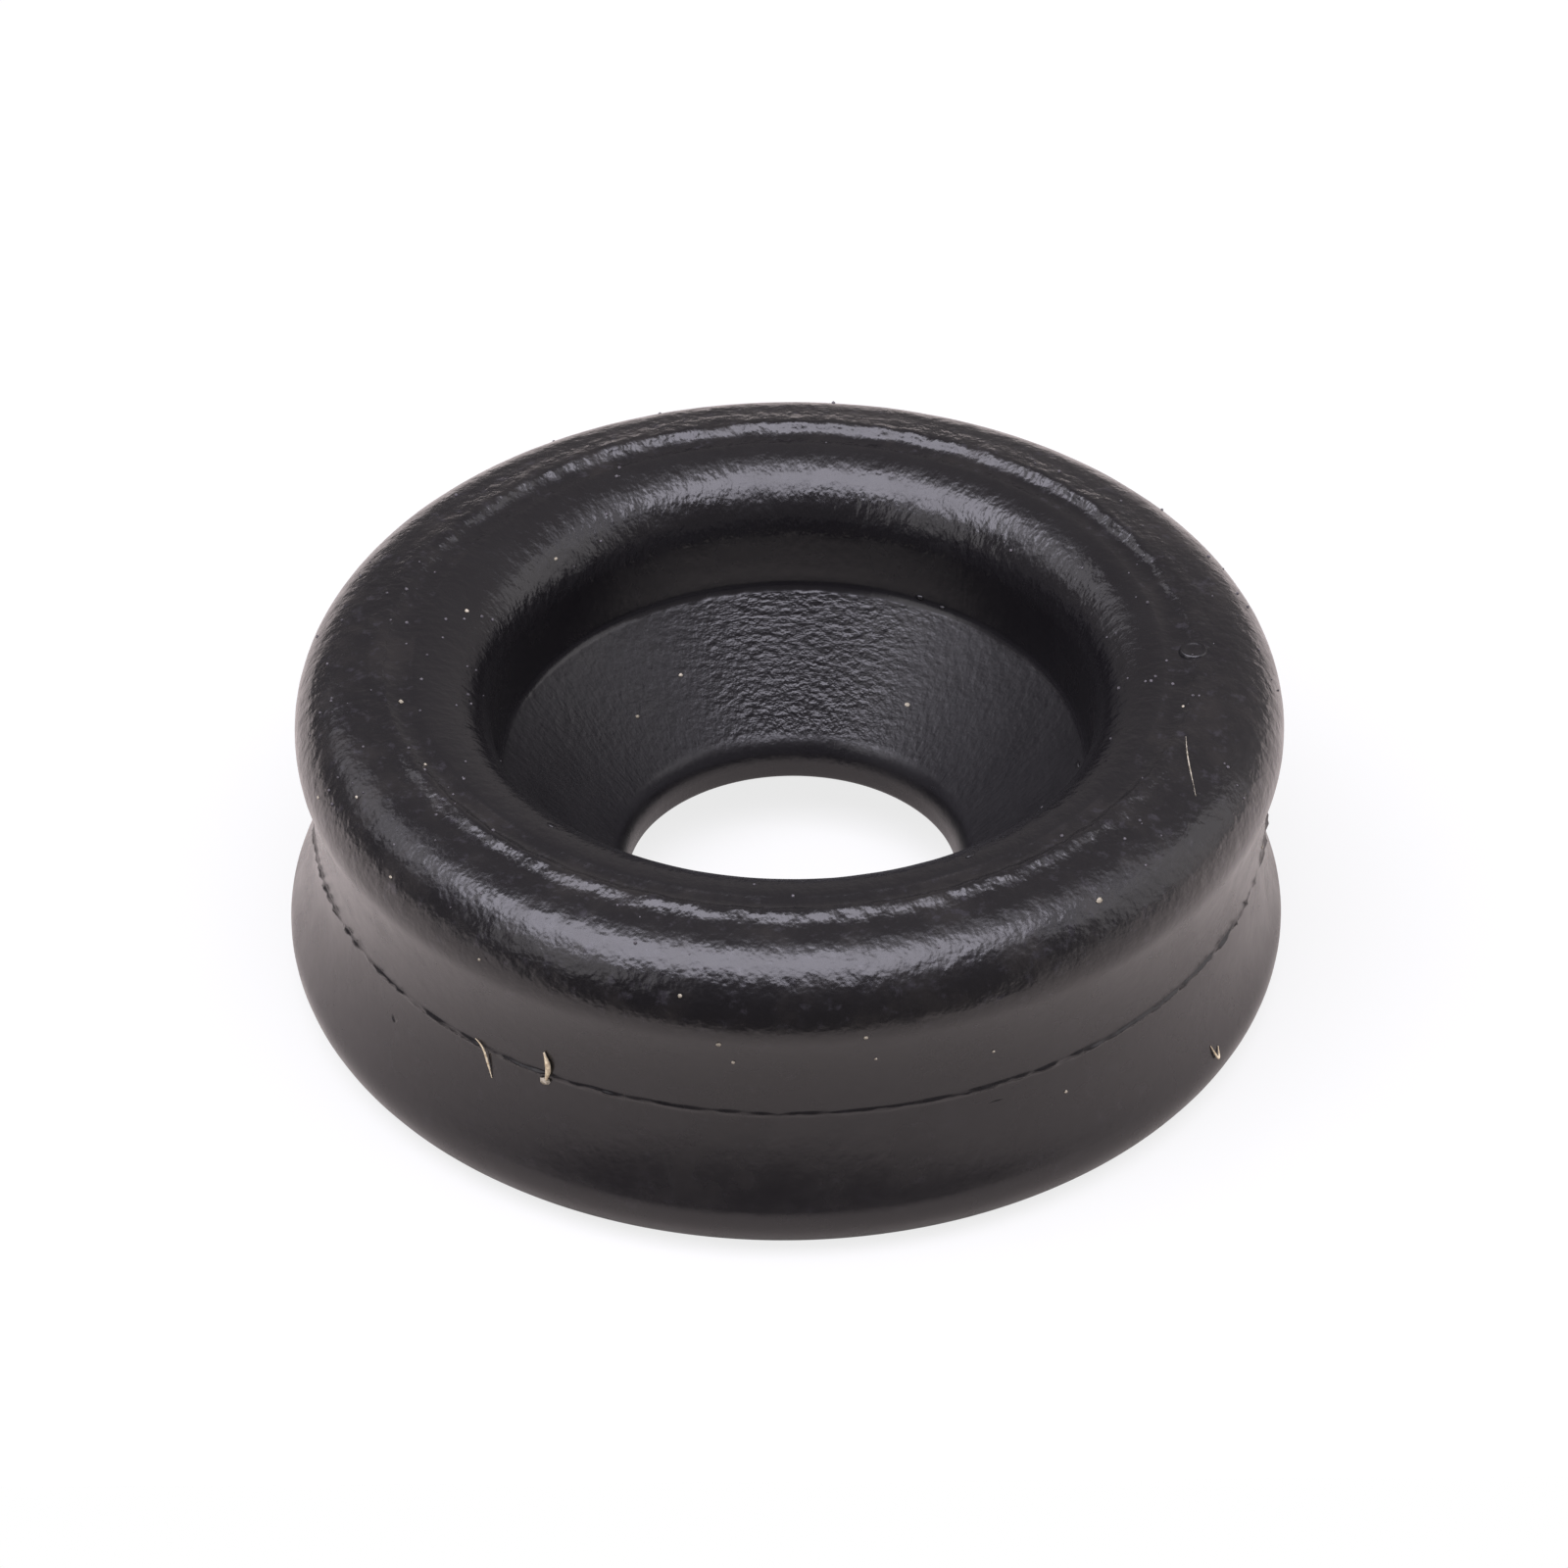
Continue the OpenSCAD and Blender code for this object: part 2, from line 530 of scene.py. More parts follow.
class GeometryTree(TreeWriter):
    """A Geometry Nodes tree with named inputs."""

    def __init__(self, name: str, sizes: dict[str, int | float]) -> None:
        """Makes the tree.

        Args:
            name: The tree's name.
            sizes: Input name to its value.
        """
        super().__init__(bpy.data.node_groups.new(name, "GeometryNodeTree"))
        kinds = {int: "NodeSocketInt", float: "NodeSocketFloat"}
        self.sizes = sizes
        self.ids: dict[str, str] = {}
        self._declare("Geometry", "NodeSocketGeometry")
        for label, value in sizes.items():
            self._declare(label, kinds[type(value)]).default_value = value
        self._declare("Material", "NodeSocketMaterial")
        self.tree.interface.new_socket(
            "Geometry", in_out="OUTPUT", socket_type="NodeSocketGeometry"
        )
        self.given = self.add("NodeGroupInput").outputs

    def _declare(self, label: str, kind: str) -> bpy.types.NodeTreeInterfaceSocket:
        """Adds a named input and keeps its identifier.

        Args:
            label: The input's name.
            kind: Its socket type.

        Returns:
            The input.
        """
        item = self.tree.interface.new_socket(label, in_out="INPUT", socket_type=kind)
        self.ids[label] = item.identifier
        return item

    def attribute(self, name: str) -> Socket:
        """Reads a number that the points carry."""
        node = self.add("GeometryNodeInputNamedAttribute", {"Name": name}, data_type="FLOAT")
        return node.outputs[0]

    def close(self, geometry: Socket) -> None:
        """Ends the tree in Realize Instances and Set Material.

        Args:
            geometry: What the tree made.
        """
        plain = self.add("GeometryNodeRealizeInstances", {0: geometry}).outputs[0]
        sockets = {"Geometry": plain, "Material": self.given["Material"]}
        dressed = self.add("GeometryNodeSetMaterial", sockets).outputs[0]
        self.add("NodeGroupOutput", {0: dressed})

    def bake(
        self, name: str, source: bpy.types.Mesh, material: bpy.types.Material, **sizes: float
    ) -> bpy.types.Object:
        """Runs the tree on a mesh.

        Args:
            name: Name of the piece that comes out.
            source: The mesh that goes in.
            material: The material that the tree sets.
            sizes: Values that differ from the tree's own, by input name.

        Returns:
            The piece, a plain mesh with no modifier.
        """
        piece = bpy.data.objects.new(name, source)
        bpy.context.scene.collection.objects.link(piece)
        modifier = piece.modifiers.new("shape", "NODES")
        modifier.node_group = self.tree
        for label, value in {**self.sizes, **sizes, "Material": material}.items():
            modifier[self.ids[label]] = value
        graph = bpy.context.evaluated_depsgraph_get()
        made = bpy.data.meshes.new_from_object(piece.evaluated_get(graph))
        piece.modifiers.remove(modifier)
        piece.data = made
        made.name = name
        point_outward(made)
        return piece


def named_sizes(owner: object) -> dict[str, int | float]:
    """The plain numbers of a dataclass, under the names that a tree's inputs have.

    Args:
        owner: The dataclass.

    Returns:
        Input name to its value.
    """
    values = {item.name: getattr(owner, item.name) for item in fields(owner)}
    return {
        name.replace("_", " ").capitalize(): value
        for name, value in values.items()
        if isinstance(value, (int, float))
    }


def carry(piece: bpy.types.Object) -> bpy.types.Object:
    """Puts a piece on the body.

    Args:
        piece: The piece.

    Returns:
        The same piece.
    """
    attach(piece, BODY)
    return piece


def point_outward(mesh: bpy.types.Mesh) -> None:
    """Merges doubles and turns every face of a closed mesh outward.

    Args:
        mesh: The mesh.
    """
    shell = bmesh.new()
    shell.from_mesh(mesh)
    bmesh.ops.remove_doubles(shell, verts=shell.verts, dist=1e-8)
    bmesh.ops.recalc_face_normals(shell, faces=shell.faces)
    shell.to_mesh(mesh)
    shell.free()
    mesh.shade_smooth()


class MaterialTree(TreeWriter):
    """A node material under way, which reads places on the piece's own axes."""

    def __init__(self, name: str) -> None:
        """Starts the material.

        Args:
            name: The material's name.
        """
        self.material = bpy.data.materials.new(name)
        self.material.use_nodes = True
        self.material.node_tree.nodes.clear()
        super().__init__(self.material.node_tree)
        self.place = self.add("ShaderNodeTexCoord").outputs["Object"]

    def end(self, shader: bpy.types.Node) -> bpy.types.Material:
        """Ends the material in a shader and gives it."""
        self.add("ShaderNodeOutputMaterial", {0: shader.outputs[0]})
        return self.material


class ShaderGroup(TreeWriter):
    """A shader node group with named inputs and outputs."""

    def __init__(self, name: str, inputs: dict[str, float], outputs: dict[str, str]) -> None:
        """Makes the group.

        Args:
            name: The group's name.
            inputs: Input name to its default number.
            outputs: Output name to its socket type.
        """
        super().__init__(bpy.data.node_groups.new(name, "ShaderNodeTree"))
        face = self.tree.interface
        for label, value in inputs.items():
            item = face.new_socket(label, in_out="INPUT", socket_type="NodeSocketFloat")
            item.default_value = value
        for label, kind in outputs.items():
            face.new_socket(label, in_out="OUTPUT", socket_type=kind)
        self.given = self.add("NodeGroupInput").outputs


@dataclass(frozen=True)
class MouldGrain:
    """Height of the mould's grain, drawn out along the section, in millimetres.

    Args:
        reach: Radius at which the pattern's width round the seal is true.
    """

    reach: float = 8.5

    def group(self) -> bpy.types.NodeTree:
        """Builds the shader group once.

        Returns:
            The group's node tree.
        """
        made = ShaderGroup(
            "Mould grain",
            {"Along": 0.0, "Width": 0.22, "Length": 0.4, "Height": 0.004, "Mask": 1.0},
            {"Relief": "NodeSocketFloat"},
        )
        place = made.add("ShaderNodeTexCoord").outputs["Object"]
        x, y, _ = made.split(made.scale(made.level(place), self.reach))
        width, length = made.given["Width"], made.given["Length"]
        cell = made.combine(
            made.math("DIVIDE", x, width),
            made.math("DIVIDE", y, width),
            made.math("DIVIDE", made.given["Along"], length),
        )
        relief = made.minus(made.noise(cell, 1.0, 2.0, 0.55), 0.5)
        high = made.times(made.given["Height"], made.given["Mask"])
        made.add("NodeGroupOutput", {0: made.times(relief, high)})
        return made.tree


@dataclass(frozen=True)
class Mark:
    """A pit, a scratch or a raised burr in the rubber's face.

    Args:
        place: Where it lies, as azimuth in degrees, radius and height in millimetres.
        size: Its half length round the seal and its half height, in millimetres.
        depth: How deep it is, in millimetres. A burr has a negative depth.
    """

    place: Place
    size: Point
    depth: float

    def relief(self, tree: TreeWriter, at_mm: Socket) -> Socket:
        """Height that the mark adds at a position, in millimetres.

        Args:
            tree: The material that reads it.
            at_mm: The position, in millimetres.

        Returns:
            The height's output.
        """
        azimuth, radius, height = self.place
        along = Matrix.Rotation(math.radians(-azimuth), 3, "Z")
        centre = along.inverted() @ Vector((radius, 0.0, height))
        offset = tree.vector("SUBTRACT", at_mm, tuple(centre))
        sockets = {"Vector": offset, "Angle": math.radians(-azimuth)}
        turned = tree.add("ShaderNodeVectorRotate", sockets, rotation_type="Z_AXIS")
        scale = (1 / self.size[0], 1 / self.size[0], 1 / self.size[1])
        away = tree.vector("LENGTH", tree.vector("MULTIPLY", turned.outputs[0], scale))
        return tree.ramp(away, 0.0, 1.0, -self.depth, 0.0)


@dataclass(frozen=True)
class MouldedRubber:
    """Near-black satin rubber with mould grain, fine pits and a faint grey haze.

    Args:
        colour: The rubber itself.
        bloom: Colour of the broad patches of haze on the rim.
        film: Colour of the small flecks of haze.
        ior: How strongly the skin mirrors.
        roughness: Its mean roughness.
        seat_dullness: How much rougher the seat cone is.
        seat_lean: How far ridges lean the seat cone's face toward the axis.
        back: Direction of the seat cone's most wrinkled side.
        grain: Width, length and height of the mould's grain, in millimetres.
        pits: The same of the fine pits.
        wrinkles: The same of the seat cone's wrinkles.
        marks: Single pits, scratches and burrs.
    """

    colour: Colour = (0.0085, 0.0077, 0.009, 1.0)
    bloom: Colour = (0.016, 0.014, 0.014, 1.0)
    film: Colour = (0.028, 0.026, 0.031, 1.0)
    ior: float = 1.6
    roughness: float = 0.25
    seat_dullness: float = 0.2
    seat_lean: float = 0.27
    back: Place = (0.07, 0.997, 0.0)
    grain: Place = (0.28, 0.3, 0.032)
    pits: Place = (0.11, 0.12, 0.008)
    wrinkles: Place = (0.34, 0.13, 0.04)
    marks: tuple[Mark, ...] = (
        Mark((216.3, 9.76, 2.52), (0.11, 0.11), 0.05),
        Mark((294.1, 9.72, 2.9), (0.2, 0.025), 0.012),
        Mark((238.2, 9.82, 2.15), (0.03, 0.12), 0.012),
        Mark((227.9, 7.0, 6.89), (0.13, 0.06), -0.03),
    )

    def build(self, group: bpy.types.NodeTree) -> bpy.types.Material:
        """Builds the material.

        Args:
            group: The mould grain group.

        Returns:
            The finished material.
        """
        tree = MaterialTree("moulded rubber")
        at_mm = tree.scale(tree.place, 1 / MM)
        reads = [tree.add("ShaderNodeAttribute", attribute_name=name.value) for name in Shading]
        along, mask, seat, rim = (node.outputs["Fac"] for node in reads)
        facing = tree.vector("DOT_PRODUCT", tree.level(tree.place), self.back)
        behind = tree.times(seat, tree.ramp(facing, 0.8, 0.98, 0.2, 1.0))
        relief = tree.plus(
            self._relief(tree, group, along, mask, self.grain),
            self._relief(tree, group, along, mask, self.pits),
            self._relief(tree, group, along, behind, self.wrinkles),
            *(mark.relief(tree, at_mm) for mark in self.marks),
        )
        sockets = {"Height": relief, "Distance": MM, "Strength": 1.0}
        sockets["Normal"] = self._leaning(tree, tree.times(seat, -self.seat_lean))
        bump = tree.add("ShaderNodeBump", sockets)
        cloud = tree.noise(at_mm, 0.9, 3.0, 0.6)
        haze = tree.times(tree.ramp(cloud, 0.45, 0.75), rim)
        flecks = tree.ramp(tree.noise(at_mm, 3.4, 3.0, 0.65), 0.55, 0.75)
        colour = tree.mix(haze, self.colour, self.bloom)
        colour = tree.mix(tree.times(flecks, rim), colour, self.film)
        rough = tree.ramp(cloud, 0.3, 0.7, self.roughness - 0.04, self.roughness + 0.05)
        dull = tree.times(seat, self.seat_dullness)
        dull = tree.times(dull, tree.ramp(facing, 0.86, 0.99, 1.0, 0.3))
        sockets = {
            "Base Color": colour,
            "Roughness": tree.plus(rough, dull),
            "IOR": self.ior,
            "Normal": bump.outputs[0],
        }
        return tree.end(tree.add("ShaderNodeBsdfPrincipled", sockets))

    @staticmethod
    def _relief(
        tree: TreeWriter, group: bpy.types.NodeTree, along: Socket, mask: Socket, size: Place
    ) -> Socket:
        """Places the grain group with its own width, length and height, in millimetres.

        Args:
            tree: The material.
            group: The mould grain group.
            along: Distance along the section.
            mask: Strength of the grain.
            size: Width, length and height.

        Returns:
            The relief's output.
        """
        sockets = dict(zip(("Width", "Length", "Height"), size))
        sockets["Along"], sockets["Mask"] = along, mask
        return tree.add("ShaderNodeGroup", sockets, node_tree=group).outputs["Relief"]

    @staticmethod
    def _leaning(tree: MaterialTree, lean: Socket) -> Socket:
        """The face's own normal, leaned toward the axis where ridges step the seat cone.

        Args:
            tree: The material.
            lean: How far it leans outward, negative toward the axis.

        Returns:
            The leaned normal.
        """
        plain = tree.add("ShaderNodeNewGeometry").outputs["Normal"]
        shift = tree.scale(tree.level(tree.place), lean)
        return tree.vector("NORMALIZE", tree.vector("ADD", plain, shift))


@dataclass(frozen=True)
class Matter:
    """A plain speckled matter such as lint or dust."""

    name: str
    light: Colour
    dark: Colour
    roughness: float = 0.7

    def build(self) -> bpy.types.Material:
        """Builds the material.

        Returns:
            The finished material.
        """
        tree = MaterialTree(self.name)
        spots = tree.ramp(tree.noise(tree.place, 12 / MM, 2.0), 0.35, 0.65)
        sockets = {"Base Color": tree.mix(spots, self.dark, self.light)}
        sockets["Roughness"] = self.roughness
        return tree.end(tree.add("ShaderNodeBsdfPrincipled", sockets))


@dataclass
class SealSkin:
    """The moulded ring itself, swept from its section by a Geometry Nodes tree."""

    section: SealSection
    segments: int = 440
    flash_height: float = 0.07
    crease_flash: float = 0.025
    rib_waver: float = 0.16
    shelf_height: float = 0.055
    rib_fade: float = 0.8
    ripple: float = 0.0045
    throat_shift: float = 0.08
    lobe_shift: float = -0.09
    seed: float = 3.7

    def build(self, material: bpy.types.Material) -> bpy.types.Object:
        """Sweeps the section and gives the skin, riding on the body in place of the solid.

        Args:
            material: The rubber.

        Returns:
            The skin.
        """
        skin = self._tree().bake("seal_skin", self.section.loop_mesh(), material)
        carry(skin)
        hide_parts(NODE)
        return skin

    def _tree(self) -> GeometryTree:
        """The sweep, with the moulding's irregularities added along the skin's own normal.

        Returns:
            The finished tree.
        """
        tree = GeometryTree("Moulded ring", named_sizes(self))
        ring = self._sweep(tree)
        place = tree.scale(tree.add("GeometryNodeInputPosition").outputs[0], 1 / MM)
        seeded = tree.vector("ADD", place, tree.combine(0.0, 0.0, tree.given["Seed"]))
        around = tree.level(place)
        outward = tree.scale(around, tree.attribute("out_r"))
        normal = tree.vector("ADD", outward, tree.combine(0.0, 0.0, tree.attribute("out_z")))
        push = tree.scale(normal, self._rise(tree, seeded, around))
        throat = tree.times(tree.attribute("throat"), tree.given["Throat shift"])
        lobe = tree.times(tree.attribute("lobe"), tree.given["Lobe shift"])
        moved = tree.vector("ADD", push, tree.combine(tree.plus(throat, lobe), 0.0, 0.0))
        sockets = {"Geometry": ring, "Offset": tree.scale(moved, MM)}
        tree.close(tree.add("GeometryNodeSetPosition", sockets).outputs[0])
        return tree

    @staticmethod
    def _sweep(tree: GeometryTree) -> Socket:
        """The section swept once round the axis, closed both ways.

        Args:
            tree: The tree.

        Returns:
            The ring's output.
        """
        circle = tree.add(
            "GeometryNodeCurvePrimitiveCircle",
            {"Resolution": tree.given["Segments"], "Radius": 1e-6},
            mode="RADIUS",
        )
        path = tree.add("GeometryNodeSetCurveNormal", {"Curve": circle.outputs[0]}, mode="Z_UP")
        loop = tree.add("GeometryNodeMeshToCurve", {0: tree.given["Geometry"]})
        sockets = {"Curve": path.outputs[0], "Profile Curve": loop.outputs[0]}
        return tree.add("GeometryNodeCurveToMesh", sockets).outputs[0]

    @staticmethod
    def _rise(tree: GeometryTree, place: Socket, around: Socket) -> Socket:
        """How far the skin stands out of its true section, in millimetres.

        Args:
            tree: The tree.
            place: Places on the skin, in millimetres, moved by the seed.
            around: Level direction of each place from the axis.

        Returns:
            The distance's output.
        """
        side, ahead, _ = tree.split(around)
        wide = tree.math("ABSOLUTE", side)

        row, given = tree.attribute, tree.given
        ragged = tree.ramp(tree.noise(place, 4.5, 3.0, 0.65), 0.4, 0.6, 0.0, 1.2)
        flank = tree.ramp(wide, 0.12, 0.75, 0.3, 1.0)
        flash = tree.times(row("parting"), given["Flash height"], ragged, flank)
        crumbs = tree.ramp(tree.noise(place, 5.5, 3.0, 0.7), 0.48, 0.68)
        crease = tree.times(row("crease_flash"), given["Crease flash"], crumbs, ahead)
        crease = tree.math("MAXIMUM", crease, 0.0)
        swell = tree.minus(tree.noise(place, 0.9, 2.0, 0.55), 0.5)
        swell = tree.times(swell, row("ripple"), tree.times(given["Ripple"], 4.0))
        waver = tree.minus(tree.noise(place, 2.3, 2.0, 0.5), 0.5)
        waver = tree.times(waver, row("rib"), given["Rib waver"])
        shelf = tree.times(row("shelf"), given["Shelf height"], tree.ramp(ahead, -0.2, 0.4))
        fade = tree.times(given["Rib fade"], tree.ramp(wide, 0.86, 0.99), row("rib_fade"))
        waver = tree.minus(tree.plus(waver, shelf), fade)
        return tree.plus(tree.plus(flash, crease), tree.plus(swell, waver))


class SkinFinder:
    """Finds places on the finished skin."""

    def __init__(self, skin: bpy.types.Object) -> None:
        """Sorts the skin's faces."""
        points = [v.co.copy() for v in skin.data.vertices]
        self.faces = BVHTree.FromPolygons(points, [tuple(p.vertices) for p in skin.data.polygons])

    def at(self, azimuth: float, radius: float, height: float) -> tuple[Vector, Vector]:
        """Gives the nearest place on the skin, in metres, and the way out of it.

        Args:
            azimuth: Direction from the axis, in degrees.
            radius: Distance from the axis, in millimetres.
            height: Height above the foot, in millimetres.

        Returns:
            The place and the face's normal.
        """
        a = math.radians(azimuth)
        near = Vector((radius * math.cos(a), radius * math.sin(a), height)) * MM
        place, normal, _, _ = self.faces.find_nearest(near)
        return place, normal


@dataclass(frozen=True)
class Grain:
    """One loose or torn bit on the skin.

    Args:
        azimuth: Direction from the axis, in degrees.
        radius: Distance from the axis, in millimetres.
        height: Height above the foot, in millimetres.
        size: Its mean half width, in millimetres.
        stretch: How much longer it is round the seal than along it.
    """

    azimuth: float
    radius: float
    height: float
    size: float = 0.035
    stretch: float = 1.0


@dataclass
class Bits:
    """A handful of small lumps set on the skin one by one.

    Args:
        name: Name of the piece.
        grains: The lumps.
        seed: Start of the series that varies their shapes.
        lift: How far each stands out of the skin, as a share of its half width.
    """

    name: str
    grains: tuple[Grain, ...]
    seed: int = 5
    lift: float = 0.25

    def build(self, finder: SkinFinder, material: bpy.types.Material) -> bpy.types.Object:
        """Builds the lumps as one piece that rides on the body.

        Args:
            finder: Finder for the skin.
            material: The lumps' material.

        Returns:
            The piece.
        """
        chance = random.Random(self.seed)
        shell = bmesh.new()
        for grain in self.grains:
            place, normal = finder.at(grain.azimuth, grain.radius, grain.height)
            made = bmesh.ops.create_icosphere(shell, subdivisions=2, radius=grain.size * MM)
            lump = Vector((1.0 + 0.4 * chance.random(), 1.0, 0.6)) * (1 / grain.stretch**0.5)
            lump.x *= grain.stretch
            turn = self._facing(normal)
            for vert in made["verts"]:
                wave = 1 + 0.35 * (chance.random() - 0.5)
                flat = Vector(vert.co[i] * lump[i] * wave for i in range(3))
                vert.co = place + turn @ flat + normal * grain.size * self.lift * MM
        return finish_piece(shell, self.name, material)

    @staticmethod
    def _facing(normal: Vector) -> Matrix:
        """Axes with X round the seal and Z out of the skin.

        Args:
            normal: The way out of the skin.

        Returns:
            The axes as columns.
        """
        round_way = Vector((0, 0, 1)).cross(normal)
        if round_way.length < 1e-3:
            round_way = Vector((1, 0, 0))
        round_way.normalize()
        up = normal.cross(round_way)
        return Matrix((round_way, up, normal)).transposed()


def finish_piece(
    shell: bmesh.types.BMesh, name: str, material: bpy.types.Material
) -> bpy.types.Object:
    """Turns a closed shell into a piece that rides on the body.

    Args:
        shell: The shell, which is freed.
        name: Name of the piece.
        material: Its material.

    Returns:
        The piece.
    """
    mesh = bpy.data.meshes.new(name)
    bmesh.ops.recalc_face_normals(shell, faces=shell.faces)
    shell.to_mesh(mesh)
    shell.free()
    mesh.shade_smooth()
    mesh.materials.append(material)
    piece = bpy.data.objects.new(name, mesh)
    bpy.context.scene.collection.objects.link(piece)
    return carry(piece)


@dataclass
class GatePip:
    """The low round stub that the mould's gate leaves on the rib's crest."""

    azimuth: float = 1.5
    radius: float = 8.12
    size: float = 0.27
    rim: float = 0.03
    segments: int = 48

    def build(self, finder: SkinFinder, material: bpy.types.Material) -> bpy.types.Object:
        """Builds the stub, a shallow dish with a rolled rim, let into the rib.

        Args:
            finder: Finder for the skin.
            material: The rubber.

        Returns:
            The piece.
        """
        place, _ = finder.at(self.azimuth, self.radius, 7.1)
        top = place.z / MM
        s, h = self.size, self.rim
        outline = [
            (0.02, top - 0.01),
            (s * 0.5, top - 0.01),
            (s * 0.72, top + h * 0.3),
            (s * 0.86, top + h),
            (s * 0.97, top + h * 0.7),
            (s * 1.06, top - 0.03),
            (s * 1.16, top - 0.12),
            (s * 1.2, top - 0.3),
            (0.02, top - 0.3),
        ]
        shell = bmesh.new()
        turns = [2 * math.pi * i / self.segments for i in range(self.segments)]
        rings = [
            [shell.verts.new(self._at(place, r, z, turn)) for turn in turns] for r, z in outline
        ]
        for low, high in zip(rings, rings[1:]):
            for i in range(self.segments):
                j = (i + 1) % self.segments
                shell.faces.new((low[i], low[j], high[j], high[i]))
        shell.faces.new(rings[0])
        shell.faces.new(rings[-1])
        return finish_piece(shell, "gate_pip", material)

    @staticmethod
    def _at(place: Vector, radius: float, height: float, turn: float) -> Place:
        """A point about the stub's own axis, in metres."""
        x = place.x + radius * math.cos(turn) * MM
        return x, place.y + radius * math.sin(turn) * MM, height * MM


@dataclass(frozen=True)
class Fibre:
    """A thread of lint lying on the skin.

    Args:
        name: Name of the piece.
        path: Its places as azimuth, radius, height and lift above the skin.
        thickness: Its half width, in millimetres.
    """

    name: str
    path: tuple[tuple[float, float, float, float], ...]
    thickness: float = 0.02

    def build(
        self, tree: GeometryTree, finder: SkinFinder, material: bpy.types.Material
    ) -> bpy.types.Object:
        """Sweeps the thread along its path.

        Args:
            tree: The sweep that all threads share.
            finder: Finder for the skin.
            material: The thread's material.

        Returns:
            The piece.
        """
        points = []
        for azimuth, radius, height, lift in self.path:
            place, normal = finder.at(azimuth, radius, height)
            points.append(tuple(place + normal * lift * MM))
        mesh = bpy.data.meshes.new(self.name)
        mesh.from_pydata(points, [(i, i + 1) for i in range(len(points) - 1)], [])
        return carry(tree.bake(self.name, mesh, material, Thickness=self.thickness * MM))

    @staticmethod
    def tree() -> GeometryTree:
        """The sweep that all threads share: a smooth path with a tapering round section.

        Returns:
            The finished tree.
        """
        tree = GeometryTree("Lint thread", {"Thickness": 2e-5})
        path = tree.add("GeometryNodeMeshToCurve", {0: tree.given["Geometry"]}).outputs[0]
        bent = tree.add("GeometryNodeCurveSplineType", {"Curve": path}, spline_type="CATMULL_ROM")
        steps = tree.add("GeometryNodeResampleCurve", {"Curve": bent.outputs[0], "Count": 28})
        share = tree.add("GeometryNodeSplineParameter").outputs["Factor"]
        middle = tree.math("ABSOLUTE", tree.minus(share, 0.5))
        taper = tree.ramp(middle, 0.1, 0.5, 1.0, 0.35)
        wide = tree.add("GeometryNodeSetCurveRadius", {"Curve": steps.outputs[0], "Radius": taper})
        ring = tree.add(
            "GeometryNodeCurvePrimitiveCircle",
            {"Resolution": 8, "Radius": tree.given["Thickness"]},
            mode="RADIUS",
        )
        sockets = {"Curve": wide.outputs[0], "Profile Curve": ring.outputs[0], "Fill Caps": True}
        swept = tree.add("GeometryNodeCurveToMesh", sockets)
        if "Scale" in swept.inputs:
            tree.tree.links.new(taper, swept.inputs["Scale"])
        tree.close(swept.outputs[0])
        return tree


@dataclass
class DustAndEdgeGlow:
    """Dust strewn over the rim by a Geometry Nodes tree, thicker on both flanks, to the camera's
    left and right, where its grey specks are also a painted glow along the bead's edges.
    """

    density: float = 2.8e6
    smallest: float = 0.016
    largest: float = 0.045
    seed: int = 11

    def build(self, skin: bpy.types.Object, material: bpy.types.Material) -> bpy.types.Object:
        """Strews the dust over the skin.

        Args:
            skin: The seal's skin.
            material: The dust's material.

        Returns:
            The piece.
        """
        piece = self._tree().bake("dust_and_edge_glow", skin.data.copy(), material)
        piece.data.materials.clear()
        piece.data.materials.append(material)
        return carry(piece)

    def _tree(self) -> GeometryTree:
        """Points on the rim's skin, each with a tiny flat lump.

        Returns:
            The finished tree.
        """
        tree = GeometryTree("Strewn dust", named_sizes(self))
        place = tree.add("GeometryNodeInputPosition").outputs[0]
        side = tree.split(tree.level(place))[0]
        # Denser toward the camera's left and right: real dust, thickened there into a painted glow
        # along the bead's edges.
        flank = tree.ramp(tree.math("ABSOLUTE", side), 0.4, 0.95, 0.15, 1.0)
        rim = tree.ramp(tree.attribute(Shading.GRAIN.value), 0.3, 1.0)
        crown = tree.ramp(tree.split(place)[2], 0.0058, 0.0066)
        share = tree.times(tree.times(flank, rim), crown)
        clumps = tree.ramp(tree.noise(place, 700.0, 2.0), 0.45, 0.7, 0.1, 1.0)
        share = tree.times(share, clumps)
        strewn = tree.add(
            "GeometryNodeDistributePointsOnFaces",
            {
                "Mesh": tree.given["Geometry"],
                "Density": tree.times(tree.given["Density"], share),
                "Seed": tree.given["Seed"],
            },
        )
        lump = tree.add("GeometryNodeMeshIcoSphere", {"Radius": MM, "Subdivisions": 1})
        size = tree.add(
            "FunctionNodeRandomValue",
            {"Min": tree.given["Smallest"], "Max": tree.given["Largest"]},
            data_type="FLOAT",
        )
        wide = tree.combine(size.outputs[1], size.outputs[1], size.outputs[1])
        sockets = {
            "Points": strewn.outputs["Points"],
            "Instance": lump.outputs["Mesh"],
            "Rotation": strewn.outputs["Rotation"],
            "Scale": wide,
        }
        laid = tree.add("GeometryNodeInstanceOnPoints", sockets)
        tree.close(laid.outputs[0])
        return tree


